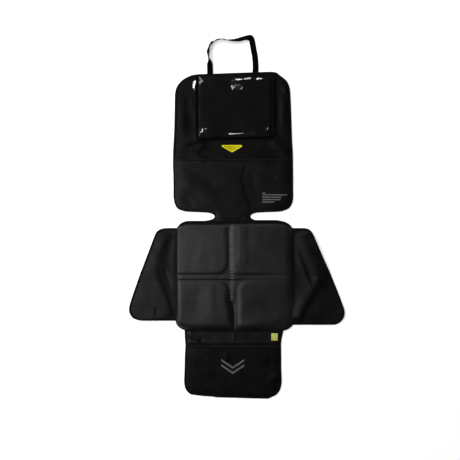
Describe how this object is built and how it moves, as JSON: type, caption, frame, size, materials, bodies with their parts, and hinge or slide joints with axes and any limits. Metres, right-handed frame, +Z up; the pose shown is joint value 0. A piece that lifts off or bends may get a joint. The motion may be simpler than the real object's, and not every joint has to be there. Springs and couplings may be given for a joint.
{
  "type": "car seat protector mat",
  "caption": "Padded black mat laid flat, with a raised four-pad seat section, side wings, a back section with pockets and a hanging strap, and a front flap.",
  "frame": {"origin": "middle of the seat section's underside, on the surface the mat lies on", "axes": "+Z up out of the mat's face, +Y towards the head end with the hanging strap, +X to the right seen from above"},
  "size_m": [0.8096, 1.3649, 0.0213],
  "materials": {
    "black_cloth": "woven polyester, matte",
    "black_tape": "ribbed edge tape, matte",
    "black_mesh": "knitted mesh, matte",
    "soft_leather": "grained imitation leather, soft gloss",
    "clear_vinyl": "clear soft vinyl, glossy",
    "yellow": "moulded soft badge, satin",
    "lime_yellow": "woven tab",
    "grey_print": "printed film, matte",
    "grey_foam": "open-cell foam",
    "rubber_dots": "non-slip backing",
    "black_webbing": "woven webbing"
  },
  "bodies": {
    "root": {"back_binding": "black_tape", "back_panel": "black_cloth", "centre_scale": "grey_print", "chevron_lower": "grey_print", "chevron_upper": "grey_print", "foam_pad_foot_left": "grey_foam", "foam_pad_foot_right": "grey_foam", "foam_pad_head_left": "grey_foam", "foam_pad_head_right": "grey_foam", "front_band": "soft_leather", "front_flap": "black_cloth", "front_flap_binding": "black_tape", "front_pocket": "black_mesh", "front_pocket_hem": "black_tape", "hanging_strap": "black_webbing", "left_wing": "black_cloth", "left_wing_binding": "black_tape", "print_line_1": "grey_print", "print_line_2": "grey_print", "print_line_3": "grey_print", "print_line_4": "grey_print", "print_line_5": "grey_print", "right_wing": "black_cloth", "right_wing_binding": "black_tape", "seat_backing": "rubber_dots", "seat_binding": "black_tape", "seat_cover": "soft_leather", "seat_underlay": "grey_foam", "side_tab": "lime_yellow", "storage_pocket": "black_cloth", "storage_pocket_hem": "black_tape", "tablet_pocket": "clear_vinyl", "tablet_pocket_edging": "black_tape", "triangle_badge": "yellow"}
  },
  "joints": []
}
